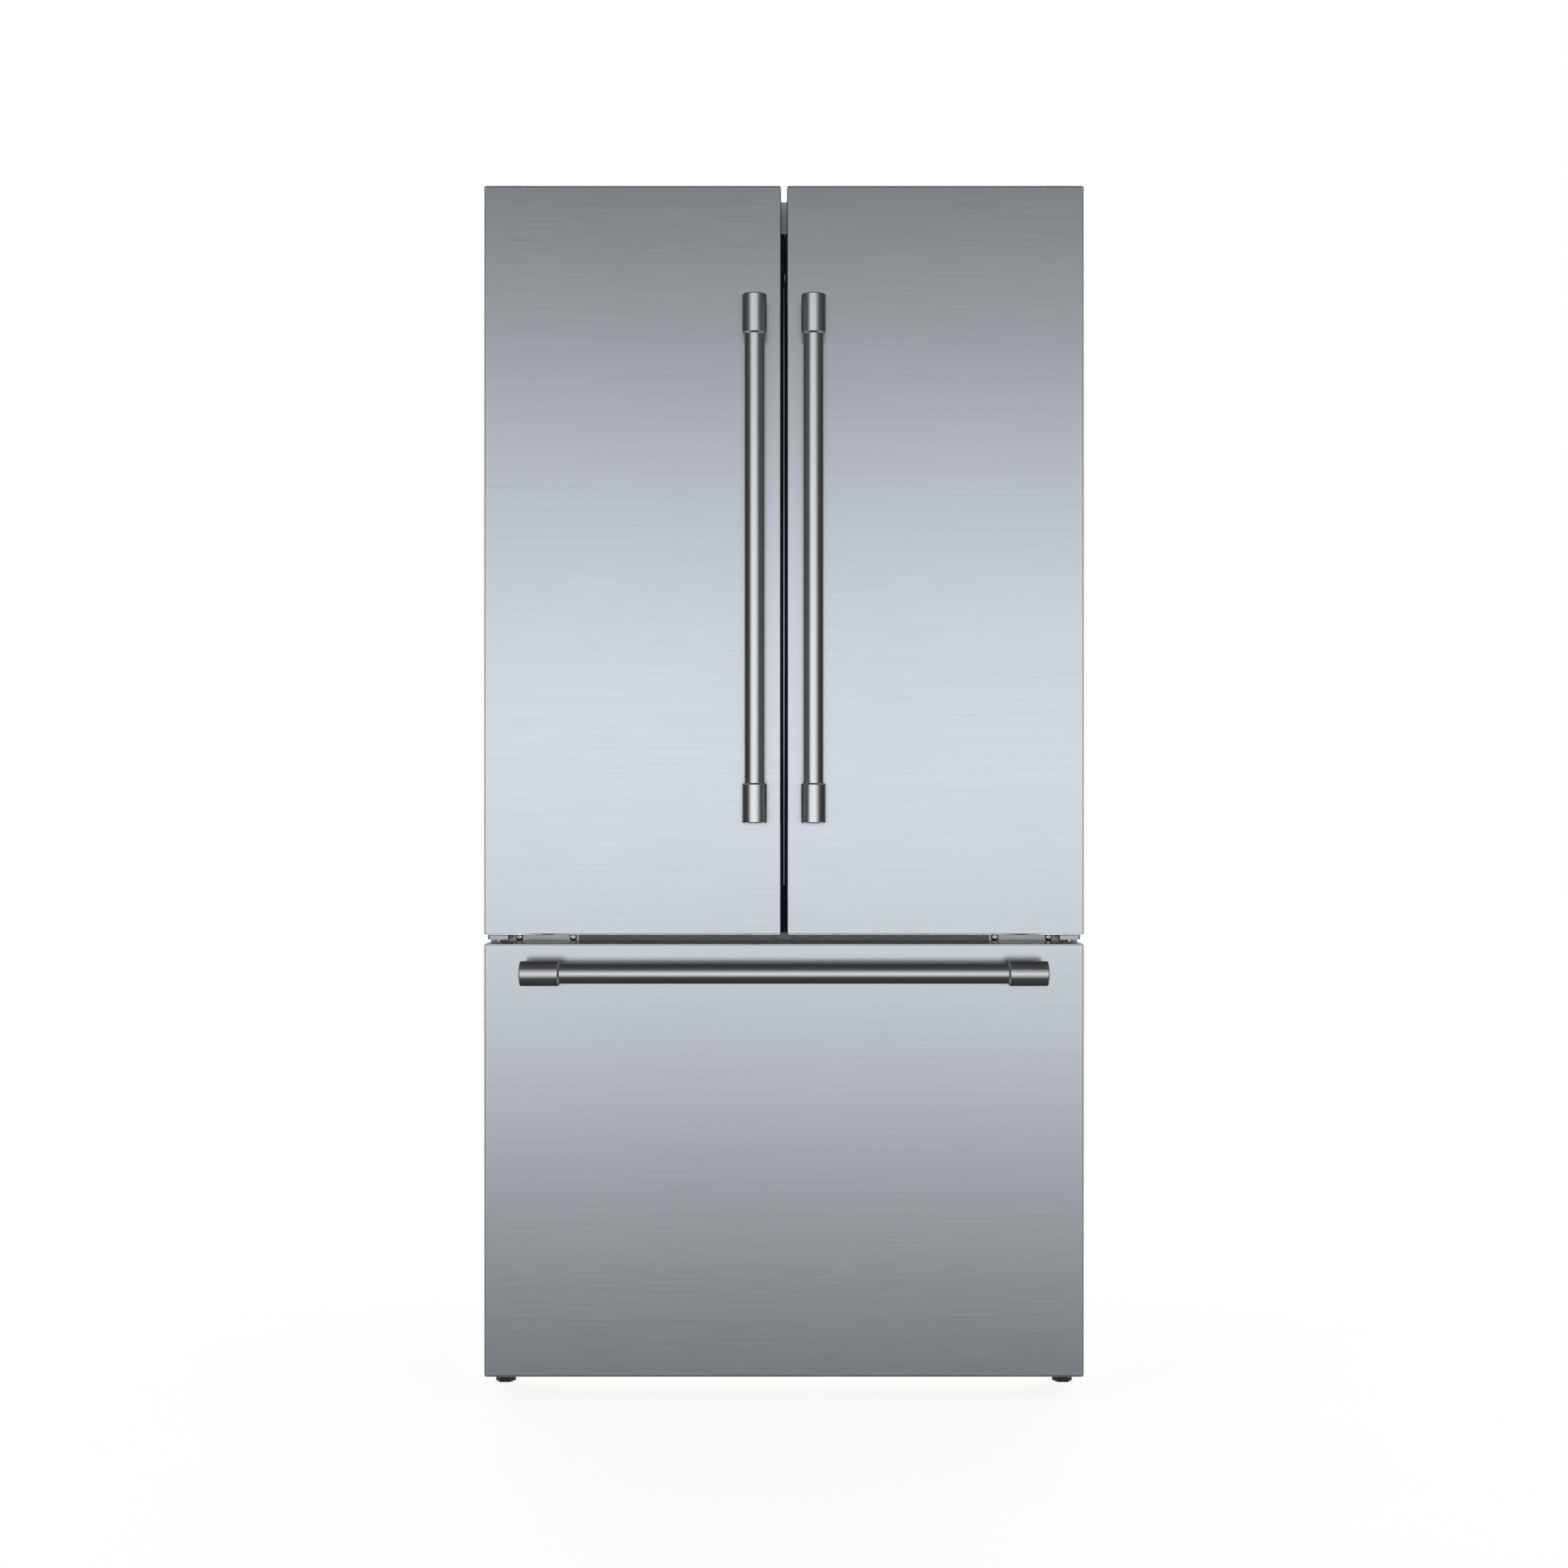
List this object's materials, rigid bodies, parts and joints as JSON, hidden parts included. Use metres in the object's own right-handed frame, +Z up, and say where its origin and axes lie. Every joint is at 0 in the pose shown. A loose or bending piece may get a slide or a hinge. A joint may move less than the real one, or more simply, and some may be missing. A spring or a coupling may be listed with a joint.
{
  "type": "french door refrigerator",
  "caption": "Free-standing refrigerator with twin hinged upper doors, bar handles and a pull-out bottom freezer drawer.",
  "frame": {"origin": "on the floor at the centre of the footprint box, which runs from the handles to the rear spacers", "axes": "+Z up, doors face -Y, +X to the right of a person facing the doors"},
  "size_m": [0.905, 0.7899, 1.84],
  "materials": {
    "brushed_panel": "horizontal brushed grain, satin",
    "handle_steel": "satin, brushed along the bar",
    "cap_steel": "satin",
    "case_paint": "fine textured grey powder coat",
    "galvanised": "galvanised sheet",
    "black_paint": "gloss black",
    "painted_steel": "satin white-grey",
    "hinge_steel": "zinc plated",
    "slide_steel": "zinc plated",
    "screw_steel": "plated",
    "fins": "bare",
    "foam": "rigid polyurethane foam",
    "liner": "satin moulded",
    "trim_plastic": "satin",
    "cover_plastic": "fine grain",
    "fan_plastic": "moulded",
    "foot_plastic": "moulded",
    "panel_gloss": "gloss touch surface",
    "clear_plastic": "clear moulded",
    "lamp": "diffuser",
    "gasket": "soft magnetic seal",
    "shelf_glass": "clear tempered"
  },
  "bodies": {
    "cabinet": {"cabinet_shell": "case_paint", "center_rail": "case_paint", "insulation_foam": "foam", "fresh_food_liner": "liner", "freezer_liner": "liner", "back_panel": "galvanised", "machine_cover": "galvanised", "base_frame": "galvanised", "front_feet": "foot_plastic", "shelf_upper_left": "shelf_glass", "shelf_upper_right": "shelf_glass", "shelf_middle": "shelf_glass", "shelf_trims": "trim_plastic", "shelf_supports": "painted_steel", "crisper_lid": "shelf_glass", "crisper_frame": "trim_plastic", "air_duct_cover": "liner", "led_lamps": "lamp", "control_panel": "panel_gloss", "evaporator_coil": "fins", "evaporator_cover": "liner", "compressor": "black_paint", "condenser_coil": "fins", "condenser_fan_frame": "fan_plastic", "cord_gland": "fan_plastic", "water_inlet_valve": "trim_plastic", "top_hinges": "hinge_steel", "hinge_covers": "cover_plastic", "middle_hinges": "hinge_steel", "hinge_screws": "screw_steel", "center_stop": "cover_plastic", "cabinet_slides": "slide_steel"},
    "left_door": {"left_door_panel": "brushed_panel", "left_door_liner": "liner", "left_door_gasket": "gasket", "left_handle_bar": "handle_steel", "left_handle_caps": "cap_steel", "left_door_bins": "clear_plastic"},
    "right_door": {"right_door_panel": "brushed_panel", "right_door_liner": "liner", "right_door_gasket": "gasket", "right_handle_bar": "handle_steel", "right_handle_caps": "cap_steel", "right_door_bins": "clear_plastic"},
    "mullion": {"folding_mullion": "cover_plastic"},
    "freezer_drawer": {"drawer_panel": "brushed_panel", "drawer_liner": "liner", "drawer_gasket": "gasket", "drawer_handle_bar": "handle_steel", "drawer_handle_caps": "cap_steel", "drawer_slides": "slide_steel", "freezer_basket": "clear_plastic"},
    "slide_intermediate": {"intermediate_slides": "slide_steel"},
    "upper_tray": {"freezer_tray": "clear_plastic"},
    "crisper_drawer_left": {"crisper_left": "clear_plastic"},
    "crisper_drawer_right": {"crisper_right": "clear_plastic"},
    "roller_left": {"rear_roller_left": "foot_plastic"},
    "roller_right": {"rear_roller_right": "foot_plastic"},
    "evaporator_rotor": {"evaporator_fan": "fan_plastic"},
    "condenser_rotor": {"condenser_fan": "fan_plastic"}
  },
  "joints": [
    {"name": "left_door_hinge", "type": "hinge", "parent": "cabinet", "child": "left_door", "pos_m": [-0.434, -0.3, 1.26], "axis": [0, 0, -1], "range_deg": [0, 120]},
    {"name": "right_door_hinge", "type": "hinge", "parent": "cabinet", "child": "right_door", "pos_m": [0.434, -0.3, 1.26], "axis": [0, 0, 1], "range_deg": [0, 120]},
    {"name": "mullion_fold", "type": "hinge", "parent": "left_door", "child": "mullion", "pos_m": [-0.036, -0.25, 1.25], "axis": [0, 0, 1], "range_deg": [-90, 0]},
    {"name": "freezer_drawer_slide", "type": "slide", "parent": "cabinet", "child": "freezer_drawer", "axis": [0, -1, 0], "range_m": [0, 0.45]},
    {"name": "slide_intermediate_slide", "type": "slide", "parent": "cabinet", "child": "slide_intermediate", "axis": [0, -1, 0], "range_m": [0, 0.225]},
    {"name": "upper_tray_slide", "type": "slide", "parent": "cabinet", "child": "upper_tray", "axis": [0, -1, 0], "range_m": [0, 0.27]},
    {"name": "crisper_left_slide", "type": "slide", "parent": "cabinet", "child": "crisper_drawer_left", "axis": [0, -1, 0], "range_m": [0, 0.09]},
    {"name": "crisper_right_slide", "type": "slide", "parent": "cabinet", "child": "crisper_drawer_right", "axis": [0, -1, 0], "range_m": [0, 0.09]},
    {"name": "roller_left_spin", "type": "hinge", "parent": "cabinet", "child": "roller_left", "pos_m": [-0.3925, 0.34, 0.02], "axis": [1, 0, 0], "continuous": true},
    {"name": "roller_right_spin", "type": "hinge", "parent": "cabinet", "child": "roller_right", "pos_m": [0.3925, 0.34, 0.02], "axis": [1, 0, 0], "continuous": true},
    {"name": "evaporator_fan_spin", "type": "hinge", "parent": "cabinet", "child": "evaporator_rotor", "pos_m": [0, 0.267, 0.59], "axis": [0, 1, 0], "continuous": true},
    {"name": "condenser_fan_spin", "type": "hinge", "parent": "cabinet", "child": "condenser_rotor", "pos_m": [0.035, 0.265, 0.125], "axis": [0, 1, 0], "continuous": true}
  ],
  "couplings": [
    {"joint": "slide_intermediate_slide", "follows": "freezer_drawer_slide", "ratio": 0.5},
    {"joint": "upper_tray_slide", "follows": "freezer_drawer_slide", "ratio": 0.6}
  ]
}
